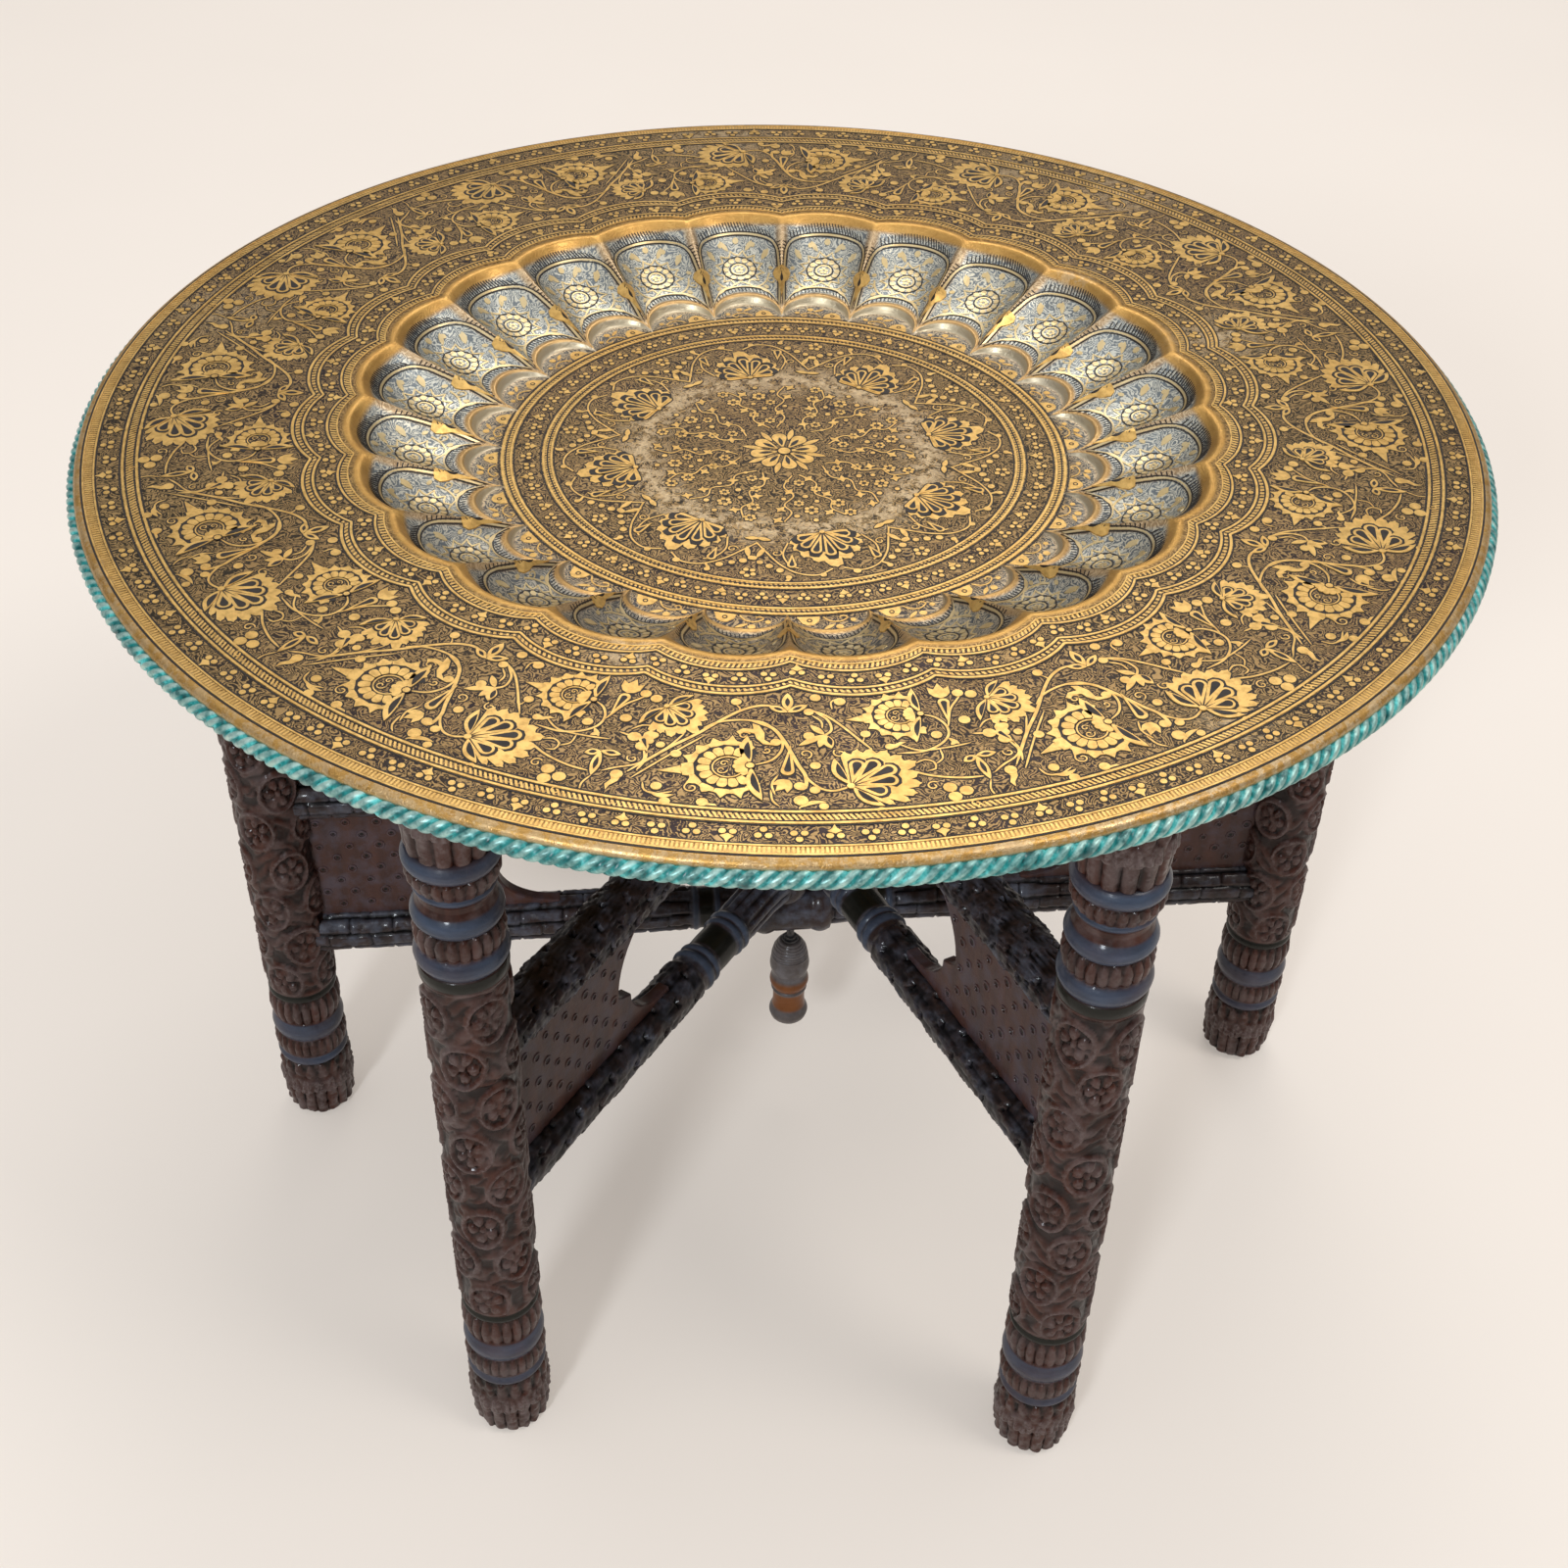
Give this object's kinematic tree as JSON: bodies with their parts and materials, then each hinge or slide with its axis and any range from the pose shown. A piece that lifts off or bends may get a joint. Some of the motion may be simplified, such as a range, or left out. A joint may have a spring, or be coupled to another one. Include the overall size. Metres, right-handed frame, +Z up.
{
  "type": "folding brass tray table",
  "caption": "Round engraved brass tray with a fluted bowl and rope edge, resting on a folding stand of crossed carved wooden frames that turn on an upright rod.",
  "frame": {"origin": "on the floor, under the middle of the tray", "axes": "+Z up, -Y towards the front, +X to the right seen from the front"},
  "size_m": [0.7622, 0.7622, 0.52],
  "materials": {
    "carved_wood": "dark stained carved wood with a worn waxed sheen",
    "panel_wood": "red-brown stained board with punched holes",
    "turned_wood": "dark turned wood with lighter worn bands",
    "tray_brass": "engraved brass with dark filled ground, worn",
    "rope_brass": "twisted brass wire with green verdigris",
    "iron": "dull old iron"
  },
  "bodies": {
    "cross_frame": {"leg_left": "carved_wood", "leg_right": "carved_wood", "cross_lower_rail": "carved_wood", "cross_upper_rail": "carved_wood", "cross_left_panel": "panel_wood", "cross_right_panel": "panel_wood", "pivot_rod": "iron", "rod_nut": "iron", "spacer_washers": "iron", "finial": "turned_wood", "finial_washer": "iron"},
    "left_diagonal_frame": {"leg_front_left": "carved_wood", "leg_back_right": "carved_wood", "left_diagonal_lower_rail": "carved_wood", "left_diagonal_upper_rail": "carved_wood", "left_diagonal_front_panel": "panel_wood", "left_diagonal_back_panel": "panel_wood"},
    "right_diagonal_frame": {"leg_front_right": "carved_wood", "leg_back_left": "carved_wood", "right_diagonal_lower_rail": "carved_wood", "right_diagonal_upper_rail": "carved_wood", "right_diagonal_front_panel": "panel_wood", "right_diagonal_back_panel": "panel_wood"},
    "tray": {"tray_sheet": "tray_brass", "rope_edge": "rope_brass"}
  },
  "joints": [
    {"name": "left_diagonal_fold", "type": "hinge", "parent": "cross_frame", "child": "left_diagonal_frame", "pos_m": [0.011, -0.013, 0.2485], "axis": [0, 0, 1], "range_deg": [-44, 20]},
    {"name": "right_diagonal_fold", "type": "hinge", "parent": "cross_frame", "child": "right_diagonal_frame", "pos_m": [0.011, -0.013, 0.2485], "axis": [0, 0, 1], "range_deg": [-20, 59]},
    {"name": "tray_lift", "type": "slide", "parent": "cross_frame", "child": "tray", "axis": [0, 0, 1], "range_m": [0, 0.15]}
  ]
}
